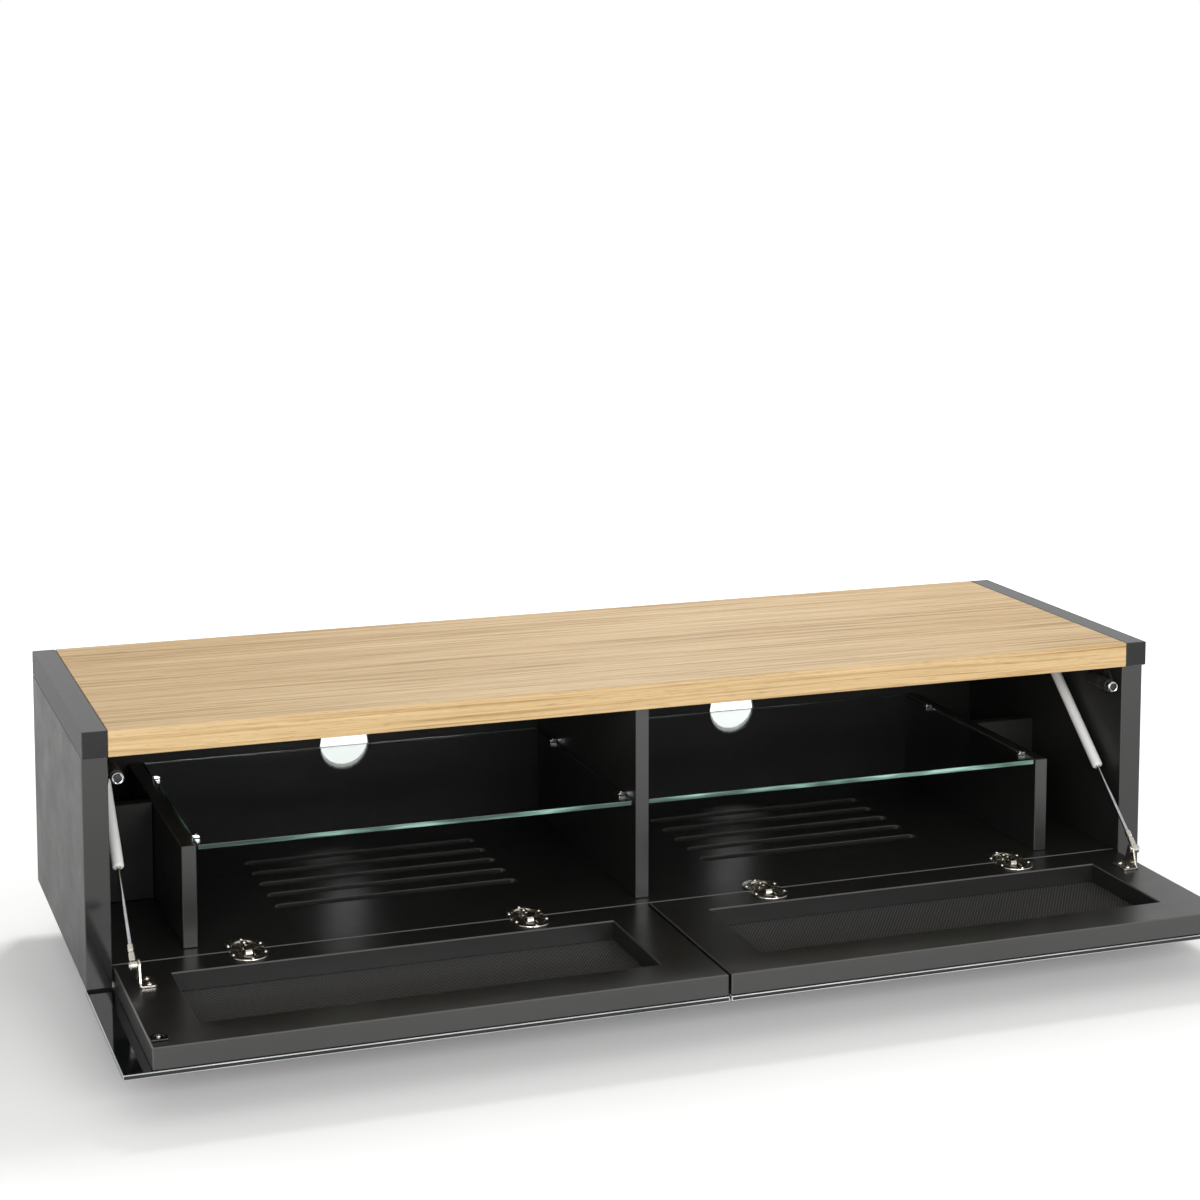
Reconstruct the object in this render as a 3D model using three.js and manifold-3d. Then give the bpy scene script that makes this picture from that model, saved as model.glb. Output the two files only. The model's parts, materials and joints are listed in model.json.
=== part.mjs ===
// Media cabinet with two drop-down doors, shown with both doors let down.
// Millimetres, +Z up, +Y to the back. Cabinet lengths are counted from the middle (x), from the
// front edge of the top (y) and from the floor (z); SHIFT_Y centres the open cabinet on the origin.
import * as THREE from 'three';
import { mergeVertices } from 'three/addons/utils/BufferGeometryUtils.js';
import Module from 'manifold-3d';

const wasm = await Module();
wasm.setup();

// ---- driving sizes ----
const WIDTH = 1200;
const DEPTH = 378;
const HEIGHT = 317;
const SHIFT_Y = -80;
const GAP = 0.3;

const TOP_THICK = 27;
const STRIP_WIDTH = 25.5;
const SIDE_THICK = 26;
const SIDE_SETBACK = 7.5;
const BOTTOM_THICK = 18;
const SIDE_UNDER = 52.5;
const BOTTOM_FRONT = 16;
const FOOT_HEIGHT = 55;
const BACK_THICK = 6;
const BACK_INSET = 1.5;

const DIVIDER_THICK = 15;
const DIVIDER_FRONT = 32;
const PARTITION_INNER = 482;
const PARTITION_FRONT = 38;
const BAY_BACK_FRONT = 208;
const SHELF_TOP = 180;
const SHELF_THICK = 5;
const SHELF_FRONT = 39;

const VENT_LENGTH = 270;
const VENT_WIDTH = 14;
const VENT_COUNT = 5;
const VENT_FIRST_Y = 137;
const VENT_PITCH = 39.3;
const BAY_MIDDLE = 245;
const CABLE_HOLE_RADIUS = 29;
const CABLE_HOLE_Z = 180;

const DOOR_THICK = 22;
const DOOR_LENGTH_FRONT = -217;
const DOOR_SEAM = 1.5;
const DOOR_MIDDLE_GAP = 1.5;
const DOOR_SIDE_GAP = 1.5;
const DOOR_EDGE = 1.2;
const WINDOW_INNER = 54.8;
const WINDOW_OUTER = 520;
const WINDOW_BACK = -27;
const WINDOW_FRONT = -167;
const REBATE = 8;
const REBATE_DEEP = 2;
const MESH_THICK = 1.2;
const GLASS_THICK = 5;
const GLASS_LIP = 1;

// hinge pin: this far in front of the bottom panel and below its top face
const PIN_AHEAD = 12.5;
const PIN_BELOW = 6.5;
const HINGE_X = [136.5, 436.7];
const CUP_DOOR_Y = 0;
const CUP_BOARD_Y = 26.5;
const CUP_RADIUS = 15.7;
const CUP_WALL = 1.5;
const CUP_DEEP = 12;
const FLANGE_RADIUS = 20.5;
const FLANGE_THICK = 1.2;
const FLANGE_SCREW_REACH = 16.6;
const ARM_WIDTH = 7;
const PIN_RADIUS = 1.3;
const PIN_HALF = 14.5;
const SEAM_SWEEP = 2;
const SCREW_RADIUS = 2.1;

const STRUT_X = 561.5;
const STRUT_TOP = [150, 267];
const STRUT_FOOT = [-48, 93];
const TUBE_RADIUS = 6;
const TUBE_FROM = 16;
const TUBE_TO = 153;
const ROD_RADIUS = 2;
const ROD_INSIDE = 138;
const EYE_RADIUS = 5;
const STUD_RADIUS = 2.4;

const LATCH_X = 564;
const LATCH_Z = 265;
const LATCH_TIP_Y = 9;
const STRIKE_X = 563;
const STRIKE_Y = -195;

const ROUND = 20;

// ---- levels that follow from the sizes ----
const HALF = WIDTH / 2;
const TOP_UNDER = HEIGHT - TOP_THICK;
const BOTTOM_UNDER = FOOT_HEIGHT;
const BOTTOM_FACE = BOTTOM_UNDER + BOTTOM_THICK;
const SIDE_INNER = HALF - SIDE_THICK;
const PARTITION_OUTER = PARTITION_INNER + DIVIDER_THICK;
const BACK_FACE = DEPTH - BACK_INSET - BACK_THICK;
const SHELF_UNDER = SHELF_TOP - SHELF_THICK;
const PIN_Y = BOTTOM_FRONT - PIN_AHEAD;
const PIN_Z = BOTTOM_FACE - PIN_BELOW;
const DOOR_BACK = BOTTOM_FRONT - DOOR_SEAM;
const DOOR_UNDER = BOTTOM_FACE - DOOR_THICK;
const GLASS_FACE = DOOR_UNDER - GAP;

const BLACK = { color: 0x1a1a1b, roughness: 0.55 };
const GLOSS_BLACK = { color: 0x111112, roughness: 0.2 };
const OAK = { color: 0xd6b684, roughness: 0.55 };
const CLEAR_GLASS = { color: 0x9fc4b4, roughness: 0.05, transparent: true, opacity: 0.35 };
const DARK_GLASS = { color: 0x0c0d0e, roughness: 0.06 };
const MESH_GREY = { color: 0x2c2c2e, roughness: 0.8 };
const NICKEL = { color: 0xb9b7b2, roughness: 0.3, metalness: 1 };
const CHROME = { color: 0xd4d6d8, roughness: 0.1, metalness: 1 };
const SILVER_PAINT = { color: 0xc3c6c8, roughness: 0.35, metalness: 0.6 };
const PLASTIC = { color: 0x161616, roughness: 0.6 };

const cabinet = new THREE.Group();
cabinet.name = 'media_cabinet';

// ---- helpers ----
function place(name, geometry, finish) {
  const placed = geometry.clone();
  placed.translate(0, SHIFT_Y, 0);
  const mesh = new THREE.Mesh(placed, new THREE.MeshStandardMaterial(finish));
  mesh.name = name;
  cabinet.add(mesh);
}

function toSolid(geometry) {
  const bare = geometry.clone();
  bare.deleteAttribute('normal');
  bare.deleteAttribute('uv');
  const welded = mergeVertices(bare, 1e-4);
  return new wasm.Manifold(new wasm.Mesh({
    numProp: 3,
    vertProperties: new Float32Array(welded.attributes.position.array),
    triVerts: new Uint32Array(welded.index.array),
  }));
}

function toGeometry(solid) {
  const out = solid.getMesh();
  const geometry = new THREE.BufferGeometry();
  geometry.setAttribute('position', new THREE.BufferAttribute(new Float32Array(out.vertProperties), 3));
  geometry.setIndex(new THREE.BufferAttribute(new Uint32Array(out.triVerts), 1));
  const loose = geometry.toNonIndexed();
  loose.computeVertexNormals();
  return loose;
}

function join(...geometries) {
  return toGeometry(geometries.map(toSolid).reduce((a, b) => a.add(b)));
}

function cut(base, ...tools) {
  return toGeometry(tools.map(toSolid).reduce((a, b) => a.subtract(b), toSolid(base)));
}

// rectangle with its corners nipped off
function rectangle(x0, x1, y0, y1, nip) {
  const corners = [
    [x0 + nip, y0], [x1 - nip, y0], [x1, y0 + nip], [x1, y1 - nip],
    [x1 - nip, y1], [x0 + nip, y1], [x0, y1 - nip], [x0, y0 + nip],
  ];
  return new THREE.Shape(corners.map(([x, y]) => new THREE.Vector2(x, y)));
}

function sharpRectangle(x0, x1, y0, y1) {
  const corners = [[x0, y0], [x1, y0], [x1, y1], [x0, y1]];
  return new THREE.Path(corners.map(([x, y]) => new THREE.Vector2(x, y)));
}

// outline drawn in x and y, standing from z0 to z1, with its edges eased
function raise(shape, z0, z1, ease, curveSegments = 6) {
  const geometry = new THREE.ExtrudeGeometry(shape, {
    depth: z1 - z0 - 2 * ease,
    bevelEnabled: ease > 0,
    bevelThickness: ease,
    bevelSize: ease,
    bevelOffset: -ease,
    bevelSegments: 1,
    curveSegments,
  });
  return geometry.translate(0, 0, z0 + ease);
}

// outline drawn in y and z, running from x0 to x1
function raiseAlongX(shape, x0, x1, ease, curveSegments = 6) {
  const turn = new THREE.Matrix4().makeBasis(
    new THREE.Vector3(0, 1, 0), new THREE.Vector3(0, 0, 1), new THREE.Vector3(1, 0, 0));
  return raise(shape, Math.min(x0, x1), Math.max(x0, x1), ease, curveSegments).applyMatrix4(turn);
}

// outline drawn in x and z, running from y0 to y1
function raiseAlongY(shape, y0, y1, ease, curveSegments = 6) {
  const turn = new THREE.Matrix4().makeBasis(
    new THREE.Vector3(1, 0, 0), new THREE.Vector3(0, 0, 1), new THREE.Vector3(0, -1, 0));
  return raise(shape, -y1, -y0, ease, curveSegments).applyMatrix4(turn);
}

const BOARD_EASE = 0.8;
function board(x0, x1, y0, y1, z0, z1, ease = BOARD_EASE) {
  return raise(rectangle(Math.min(x0, x1), Math.max(x0, x1), y0, y1, ease), z0, z1, ease);
}

function plainBox(x0, x1, y0, y1, z0, z1) {
  const geometry = new THREE.BoxGeometry(Math.abs(x1 - x0), y1 - y0, z1 - z0);
  return geometry.translate((x0 + x1) / 2, (y0 + y1) / 2, (z0 + z1) / 2);
}

// turned piece: pairs of radius and height, axis along z
function turned(profile, x, y, z, segments = ROUND) {
  const points = profile.map(([r, h]) => new THREE.Vector2(r, h));
  const geometry = new THREE.LatheGeometry(points, segments);
  return geometry.rotateX(Math.PI / 2).translate(x, y, z);
}

function rodAlongX(radius, x0, x1, y, z, segments = ROUND) {
  const geometry = new THREE.CylinderGeometry(radius, radius, Math.abs(x1 - x0), segments);
  return geometry.rotateZ(Math.PI / 2).translate((x0 + x1) / 2, y, z);
}

function circleHole(x, y, radius) {
  const path = new THREE.Path();
  path.absarc(x, y, radius, 0, Math.PI * 2, true);
  return path;
}

function stadiumHole(x, y, length, width) {
  const path = new THREE.Path();
  const reach = (length - width) / 2;
  path.absarc(x + reach, y, width / 2, -Math.PI / 2, Math.PI / 2, false);
  path.absarc(x - reach, y, width / 2, Math.PI / 2, Math.PI * 1.5, false);
  return path;
}

const SIDES = [['left', -1], ['right', 1]];

// ---- top: oak centre between two black strips ----
const OAK_HALF = HALF - STRIP_WIDTH;
place('top_panel', board(-OAK_HALF + GAP, OAK_HALF - GAP, 0, DEPTH, TOP_UNDER, HEIGHT, 0.5), OAK);
for (const [side, s] of SIDES) {
  place(`top_strip_${side}`,
    board(s * OAK_HALF, s * HALF, 0, DEPTH, TOP_UNDER, HEIGHT, 0.8), GLOSS_BLACK);
}

// ---- carcass ----
for (const [side, s] of SIDES) {
  place(`side_panel_${side}`,
    board(s * SIDE_INNER, s * HALF, SIDE_SETBACK, DEPTH, SIDE_UNDER, TOP_UNDER - GAP), BLACK);
  place(`partition_${side}`,
    board(s * PARTITION_INNER, s * PARTITION_OUTER, PARTITION_FRONT, BACK_FACE - GAP,
      BOTTOM_FACE + GAP, SHELF_TOP), BLACK);
  place(`bay_back_${side}`,
    board(s * (PARTITION_OUTER + GAP), s * (SIDE_INNER - GAP), BAY_BACK_FRONT,
      BAY_BACK_FRONT + DIVIDER_THICK, BOTTOM_FACE + GAP, SHELF_TOP), BLACK);
}

const DIVIDER_HALF = DIVIDER_THICK / 2;
place('centre_divider',
  board(-DIVIDER_HALF, DIVIDER_HALF, DIVIDER_FRONT, BACK_FACE - GAP, BOTTOM_FACE + GAP, TOP_UNDER - GAP),
  BLACK);

const bottomOutline = rectangle(-SIDE_INNER + GAP, SIDE_INNER - GAP, BOTTOM_FRONT, BACK_FACE - GAP,
  BOARD_EASE);
for (let row = 0; row < VENT_COUNT; row += 1) {
  for (const [, s] of SIDES) {
    const y = VENT_FIRST_Y + row * VENT_PITCH;
    bottomOutline.holes.push(stadiumHole(s * BAY_MIDDLE, y, VENT_LENGTH, VENT_WIDTH));
  }
}
const POCKET_ROOM = 0.4;
const POCKET_RADIUS = CUP_RADIUS + POCKET_ROOM;
const BOARD_CUP_DEEP = 9;
const hingePlaces = [];
for (const [side, s] of SIDES) {
  HINGE_X.forEach((x, index) => {
    hingePlaces.push({ name: `${side}_${index === 0 ? 'inner' : 'outer'}`, x: s * x });
  });
}
function pocket(x, y, deep) {
  const profile = [[0, -deep], [POCKET_RADIUS, -deep], [POCKET_RADIUS, 2], [0, 2]];
  return turned(profile, x, y, BOTTOM_FACE);
}
const boardPockets = hingePlaces.map(({ x }) => pocket(x, CUP_BOARD_Y, BOARD_CUP_DEEP + POCKET_ROOM));
place('bottom_panel',
  cut(raise(bottomOutline, BOTTOM_UNDER, BOTTOM_FACE, BOARD_EASE, 3), ...boardPockets), BLACK);

const backOutline = rectangle(-SIDE_INNER + GAP, SIDE_INNER - GAP, BOTTOM_UNDER, TOP_UNDER - GAP, 0.5);
for (const [, s] of SIDES) {
  backOutline.holes.push(circleHole(s * BAY_MIDDLE, CABLE_HOLE_Z, CABLE_HOLE_RADIUS));
}
place('back_panel', raiseAlongY(backOutline, BACK_FACE, BACK_FACE + BACK_THICK, 0.5, 10), BLACK);

// ---- feet ----
const FOOT_RADIUS = 24;
const footProfile = [
  [0, 0], [FOOT_RADIUS - 2, 0], [FOOT_RADIUS, 2], [FOOT_RADIUS, 10], [17, 14],
  [17, FOOT_HEIGHT - 6], [28, FOOT_HEIGHT - 4], [28, FOOT_HEIGHT - GAP], [0, FOOT_HEIGHT - GAP],
];
const FOOT_X = [['left', -545], ['middle', 0], ['right', 545]];
const FOOT_Y = [['front', 52], ['back', 335]];
for (const [across, x] of FOOT_X) {
  for (const [along, y] of FOOT_Y) {
    place(`foot_${along}_${across}`, turned(footProfile, x, y, 0, 16), PLASTIC);
  }
}

// ---- glass shelves on their clips ----
const CLIP_LONG = 8.5;
const CLIP_WIDE = 8;
const CLIP_BACK = 1.6;
const CLIP_JAW = 3;
const CLIP_Y = [['front', 66], ['back', 300]];
const SHELF_EDGE = CLIP_BACK + 2 * GAP;
for (const [side, s] of SIDES) {
  const inner = DIVIDER_HALF + SHELF_EDGE;
  const outer = PARTITION_INNER - SHELF_EDGE;
  place(`glass_shelf_${side}`,
    board(s * inner, s * outer, SHELF_FRONT, BACK_FACE - 3, SHELF_UNDER, SHELF_TOP, 0.6), CLEAR_GLASS);
  for (const [along, y] of CLIP_Y) {
    for (const [end, wall, inward] of [['inner', DIVIDER_HALF, 1], ['outer', PARTITION_INNER, -1]]) {
      // C-shaped clip: a back against the wall, one jaw over and one under the glass
      const x = (reach) => s * (wall + inward * reach);
      const back = GAP + CLIP_BACK;
      const upper = SHELF_TOP + GAP;
      const lower = SHELF_UNDER - GAP;
      const points = [
        [GAP, lower - CLIP_JAW], [CLIP_LONG - 2, lower - CLIP_JAW],
        [CLIP_LONG, lower - 1.4], [CLIP_LONG, lower],
        [back, lower], [back, upper], [CLIP_LONG, upper], [CLIP_LONG, upper + 1.4],
        [CLIP_LONG - 2, upper + CLIP_JAW], [GAP, upper + CLIP_JAW],
      ].map(([reach, z]) => new THREE.Vector2(x(reach), z));
      const clip = raiseAlongY(new THREE.Shape(points), y - CLIP_WIDE / 2, y + CLIP_WIDE / 2, 0.4);
      place(`shelf_clip_${side}_${along}_${end}`, clip, CHROME);
    }
  }
}

// ---- doors ----
const DOOR_INNER = DOOR_MIDDLE_GAP;
const DOOR_OUTER = SIDE_INNER - DOOR_SIDE_GAP;
for (const [side, s] of SIDES) {
  const ordered = (a, b) => [Math.min(s * a, s * b), Math.max(s * a, s * b)];
  const [x0, x1] = ordered(DOOR_INNER, DOOR_OUTER);
  const [w0, w1] = ordered(WINDOW_INNER, WINDOW_OUTER);
  const outline = rectangle(x0, x1, DOOR_LENGTH_FRONT, DOOR_BACK, DOOR_EDGE);
  outline.holes.push(sharpRectangle(w0, w1, WINDOW_FRONT, WINDOW_BACK));
  const cups = hingePlaces.filter(({ x }) => x * s > 0)
    .map(({ x }) => pocket(x, CUP_DOOR_Y, CUP_DEEP + POCKET_ROOM));
  const rebate = plainBox(w0 - REBATE, w1 + REBATE, WINDOW_FRONT - REBATE, WINDOW_BACK + REBATE,
    DOOR_UNDER - 1, DOOR_UNDER + REBATE_DEEP);
  place(`door_frame_${side}`,
    cut(raise(outline, DOOR_UNDER, BOTTOM_FACE, DOOR_EDGE), rebate, ...cups), BLACK);

  const clear = REBATE - GAP;
  place(`door_mesh_${side}`,
    board(w0 - clear, w1 + clear, WINDOW_FRONT - clear, WINDOW_BACK + clear,
      DOOR_UNDER + GAP, DOOR_UNDER + GAP + MESH_THICK, 0.2), MESH_GREY);

  const [g0, g1] = ordered(DOOR_INNER - 0.5, HALF);
  place(`door_glass_${side}`,
    board(g0, g1, DOOR_LENGTH_FRONT - GLASS_LIP, DOOR_BACK, GLASS_FACE - GLASS_THICK, GLASS_FACE, 0.6),
    DARK_GLASS);
}

// ---- flap hinges: board half carries an arm, door half a hollow cup with the pin ----
function screwHeads(x, y, far) {
  const headTop = FLANGE_THICK + 0.9;
  const profile = [[0, 0.6], [SCREW_RADIUS, 0.6], [SCREW_RADIUS - 0.4, headTop], [0, headTop]];
  const reach = FLANGE_SCREW_REACH;
  const spots = [[reach, 0], [-reach, 0], [0, far * reach]];
  return spots.map(([dx, dy]) => turned(profile, x + dx, y + dy, BOTTOM_FACE, 8));
}
const flangeTop = GAP + FLANGE_THICK;
const boardHalfProfile = [
  [0, -BOARD_CUP_DEEP], [CUP_RADIUS, -BOARD_CUP_DEEP], [CUP_RADIUS, GAP], [FLANGE_RADIUS, GAP],
  [FLANGE_RADIUS, flangeTop - 0.4], [FLANGE_RADIUS - 0.4, flangeTop], [0, flangeTop],
];
const doorHalfProfile = [
  [0, -CUP_DEEP], [CUP_RADIUS, -CUP_DEEP], [CUP_RADIUS, GAP], [FLANGE_RADIUS, GAP],
  [FLANGE_RADIUS, flangeTop - 0.4], [FLANGE_RADIUS - 0.4, flangeTop],
  [CUP_RADIUS - CUP_WALL + 0.4, flangeTop],
  [CUP_RADIUS - CUP_WALL, flangeTop - 0.4], [CUP_RADIUS - CUP_WALL, CUP_WALL - CUP_DEEP],
  [0, CUP_WALL - CUP_DEEP],
];
// side view of the arm, counted from the pin
const ARM_OUTLINE = [
  [2.2, 2], [3, 6.5], [4, 8.4], [14, 8.4], [15, 7.4], [30, 7.4], [30, 9.8], [29, 10.6],
  [0.6, 10.6], [-1.6, 8.6], [-2.2, 2],
];
const EYE_OUTER = 3;
for (const { name, x } of hingePlaces) {
  const armShape = new THREE.Shape(ARM_OUTLINE.map(([y, z]) => new THREE.Vector2(PIN_Y + y, PIN_Z + z)));
  const arm = raiseAlongX(armShape, x - ARM_WIDTH / 2, x + ARM_WIDTH / 2, 0);
  const eye = rodAlongX(EYE_OUTER, x - ARM_WIDTH / 2, x + ARM_WIDTH / 2, PIN_Y, PIN_Z, 16);
  const eyeHole = rodAlongX(PIN_RADIUS + GAP, x - ARM_WIDTH, x + ARM_WIDTH, PIN_Y, PIN_Z, 12);
  const boardHalf = join(turned(boardHalfProfile, x, CUP_BOARD_Y, BOTTOM_FACE),
    ...screwHeads(x, CUP_BOARD_Y, 1));
  const seamCut = plainBox(x - 30, x + 30, -60, BOTTOM_FRONT + GAP, BOTTOM_FACE - 20, BOTTOM_FACE + 20);
  place(`hinge_board_${name}`, cut(join(cut(boardHalf, seamCut), arm, eye), eyeHole), NICKEL);

  const pin = rodAlongX(PIN_RADIUS, x - PIN_HALF, x + PIN_HALF, PIN_Y, PIN_Z, 12);
  const doorHalf = join(turned(doorHalfProfile, x, CUP_DOOR_Y, BOTTOM_FACE),
    ...screwHeads(x, CUP_DOOR_Y, -1));
  const edgeCut = plainBox(x - 30, x + 30, DOOR_BACK - SEAM_SWEEP, 60, BOTTOM_FACE - 20, BOTTOM_FACE + 20);
  place(`hinge_cup_${name}`, join(cut(doorHalf, edgeCut), pin), NICKEL);
}

// ---- gas struts ----
const strutTop = new THREE.Vector2(...STRUT_TOP);
const strutFoot = new THREE.Vector2(...STRUT_FOOT);
const STRUT_LONG = strutTop.distanceTo(strutFoot);
const strutWay = strutFoot.clone().sub(strutTop).divideScalar(STRUT_LONG);

// turned piece laid along the strut; heights count from the upper pivot
function alongStrut(profile, x, segments = 14) {
  const points = profile.map(([r, h]) => new THREE.Vector2(r, h));
  const geometry = new THREE.LatheGeometry(points, segments);
  const turn = new THREE.Quaternion().setFromUnitVectors(
    new THREE.Vector3(0, 1, 0), new THREE.Vector3(0, strutWay.x, strutWay.y));
  return geometry.applyQuaternion(turn).translate(x, STRUT_TOP[0], STRUT_TOP[1]);
}
const BORE = ROD_RADIUS + 0.4;
const BORE_END = 58;
const TIP_LONG = 20;
const tubeProfile = [
  [0, 4], [3, 4], [3, TUBE_FROM], [TUBE_RADIUS, TUBE_FROM + 1.5], [TUBE_RADIUS, TUBE_TO - 1.5],
  [TUBE_RADIUS - 1.5, TUBE_TO], [BORE, TUBE_TO], [BORE, BORE_END], [0, BORE_END],
];
const rodProfile = [
  [0, ROD_INSIDE], [ROD_RADIUS, ROD_INSIDE], [ROD_RADIUS, STRUT_LONG - TIP_LONG],
  [3.4, STRUT_LONG - TIP_LONG], [3.4, STRUT_LONG - 3], [0, STRUT_LONG - 3],
];
const EYE_HALF = 3.6;
const EYE_HOLE = STUD_RADIUS + 0.5;
for (const [side, s] of SIDES) {
  const x = s * STRUT_X;
  const topEye = rodAlongX(EYE_RADIUS + 1, x - EYE_HALF, x + EYE_HALF, ...STRUT_TOP);
  const topHole = rodAlongX(EYE_HOLE, x - 9, x + 9, ...STRUT_TOP, 16);
  place(`strut_tube_${side}`, cut(join(alongStrut(tubeProfile, x), topEye), topHole), SILVER_PAINT);

  const footEye = rodAlongX(EYE_RADIUS, x - EYE_HALF, x + EYE_HALF, ...STRUT_FOOT);
  const rivet = rodAlongX(3.4, x, x + s * (EYE_HALF + 1.5), ...STRUT_FOOT, 16);
  place(`strut_rod_${side}`, join(alongStrut(rodProfile, x), footEye, rivet), CHROME);

  // upper bracket: a plate on the side panel with a headed stud through the tube's eye
  const plateFace = s * (SIDE_INNER - GAP);
  const plateInner = s * (SIDE_INNER - 3);
  const plate = raiseAlongX(
    rectangle(STRUT_TOP[0] - 11, STRUT_TOP[0] + 11, STRUT_TOP[1] - 16, STRUT_TOP[1] + 16, 5),
    plateFace, plateInner, 0.5);
  const stud = rodAlongX(STUD_RADIUS, s * (SIDE_INNER - 1), x - s * (EYE_HALF + 2), ...STRUT_TOP, 16);
  const collar = rodAlongX(4.5, plateInner, x + s * (EYE_HALF + GAP), ...STRUT_TOP, 16);
  const head = rodAlongX(4.2, x - s * (EYE_HALF + 0.4), x - s * (EYE_HALF + 2.4), ...STRUT_TOP, 16);
  place(`strut_bracket_top_${side}`, join(plate, stud, collar, head), NICKEL);

  // lower bracket: an angle screwed to the door, its tab beside the rod's eye
  const tabOuter = x - s * (EYE_HALF + GAP);
  const tabInner = tabOuter - s * 2;
  const [footY, footZ] = STRUT_FOOT;
  const tabShape = new THREE.Shape([
    [footY - 14, BOTTOM_FACE + GAP], [footY + 14, BOTTOM_FACE + GAP], [footY + 14, BOTTOM_FACE + 3],
    [footY + 5, footZ + 4], [footY + 2, footZ + 6], [footY - 2, footZ + 6], [footY - 5, footZ + 4],
    [footY - 14, BOTTOM_FACE + 3],
  ].map(([y, z]) => new THREE.Vector2(y, z)));
  const tab = raiseAlongX(tabShape, tabOuter, tabInner, 0.3);
  const base = board(tabOuter, tabOuter - s * 17, footY - 14, footY + 14,
    BOTTOM_FACE + GAP, BOTTOM_FACE + GAP + 2, 0.3);
  const tabRivet = rodAlongX(3.8, tabOuter - s, tabInner - s * 1.5, footY, footZ, 16);
  const screwProfile = [[0, 1], [3, 1], [3, 2.8], [2, 3.7], [0, 3.7]];
  const screws = [-8, 8].map((dy) => turned(screwProfile, tabOuter - s * 10, footY + dy, BOTTOM_FACE, 12));
  place(`strut_bracket_door_${side}`, join(tab, base, tabRivet, ...screws), NICKEL);
}

// ---- push latches on the side panels and their strike plates on the doors ----
const BARREL_RADIUS = 7;
const BARREL_FRONT = 17;
const BARREL_BACK = 62;
const BARREL_BORE = 3.8;
const LATCH_HEAD = 6.4;
const LATCH_STEM = 3.3;
// turned piece with its axis along y; heights count backwards from the front of the cabinet
function alongY(profile, x, z, segments = ROUND) {
  const points = profile.map(([r, h]) => new THREE.Vector2(r, h));
  return new THREE.LatheGeometry(points, segments).translate(x, 0, z);
}
for (const [side, s] of SIDES) {
  const x = s * LATCH_X;
  const barrel = alongY([
    [0, 52], [BARREL_BORE, 52], [BARREL_BORE, BARREL_FRONT], [BARREL_RADIUS - 0.8, BARREL_FRONT],
    [BARREL_RADIUS, BARREL_FRONT + 0.8], [BARREL_RADIUS, BARREL_BACK - 0.8],
    [BARREL_RADIUS - 0.8, BARREL_BACK], [0, BARREL_BACK],
  ], x, LATCH_Z);
  // lozenge-shaped fixing flange against the side panel
  const lozenge = new THREE.Shape([
    [22, 0], [34, 15], [44, 15], [56, 0], [44, -15], [34, -15],
  ].map(([y, dz]) => new THREE.Vector2(y, LATCH_Z + dz)));
  const flange = raiseAlongX(lozenge, s * (SIDE_INNER - GAP), s * (SIDE_INNER - 3.6), 0.6);
  place(`latch_body_${side}`, join(flange, barrel), PLASTIC);

  const tipBack = LATCH_TIP_Y + 4;
  place(`latch_plunger_${side}`, alongY([
    [0, LATCH_TIP_Y], [LATCH_HEAD - 0.8, LATCH_TIP_Y], [LATCH_HEAD, LATCH_TIP_Y + 0.8],
    [LATCH_HEAD, tipBack], [LATCH_STEM, tipBack], [LATCH_STEM, 46], [0, 46],
  ], x, LATCH_Z), CHROME);

  // strike plate: square at the front, half round at the back
  const cx = s * STRIKE_X;
  const strike = new THREE.Shape();
  strike.moveTo(cx - 8.5, STRIKE_Y - 8.5);
  strike.lineTo(cx + 8.5, STRIKE_Y - 8.5);
  strike.absarc(cx, STRIKE_Y, 8.5, 0, Math.PI, false);
  strike.closePath();
  place(`strike_plate_${side}`,
    raise(strike, BOTTOM_FACE + GAP, BOTTOM_FACE + GAP + 1.8, 0.4, 7), NICKEL);
}

export default cabinet;
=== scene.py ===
# Media cabinet with two drop-down doors, both let down, in front of a plain studio floor.
# Metres, +Z up, +Y to the back, with the floor at z = 0 and the cabinet centred on x = 0.
import json
import math

import bmesh
import bpy
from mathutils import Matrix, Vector


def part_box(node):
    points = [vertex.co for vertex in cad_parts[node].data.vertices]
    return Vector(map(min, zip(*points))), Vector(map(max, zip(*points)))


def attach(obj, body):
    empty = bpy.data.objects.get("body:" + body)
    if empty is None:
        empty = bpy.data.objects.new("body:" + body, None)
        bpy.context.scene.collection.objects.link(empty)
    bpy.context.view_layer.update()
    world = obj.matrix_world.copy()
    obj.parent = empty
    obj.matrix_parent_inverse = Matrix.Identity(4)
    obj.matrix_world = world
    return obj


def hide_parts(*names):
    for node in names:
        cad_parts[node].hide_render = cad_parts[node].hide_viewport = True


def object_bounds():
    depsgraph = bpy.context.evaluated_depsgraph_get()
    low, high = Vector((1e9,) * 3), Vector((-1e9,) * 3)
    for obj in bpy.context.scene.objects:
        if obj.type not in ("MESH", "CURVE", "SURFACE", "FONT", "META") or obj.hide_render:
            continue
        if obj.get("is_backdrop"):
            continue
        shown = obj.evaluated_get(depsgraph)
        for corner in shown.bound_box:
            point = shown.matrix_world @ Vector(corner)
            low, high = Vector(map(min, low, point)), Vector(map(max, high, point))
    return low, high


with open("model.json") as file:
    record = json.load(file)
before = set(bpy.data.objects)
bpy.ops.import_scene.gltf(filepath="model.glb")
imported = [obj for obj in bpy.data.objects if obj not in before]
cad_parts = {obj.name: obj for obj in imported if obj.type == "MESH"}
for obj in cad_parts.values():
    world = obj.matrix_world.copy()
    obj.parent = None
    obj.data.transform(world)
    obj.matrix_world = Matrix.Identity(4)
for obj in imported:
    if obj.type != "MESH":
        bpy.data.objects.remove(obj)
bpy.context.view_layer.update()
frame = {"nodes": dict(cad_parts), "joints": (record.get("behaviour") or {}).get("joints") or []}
nodes = frame["nodes"]
joints = {joint["name"]: joint for joint in frame["joints"]}

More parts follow.
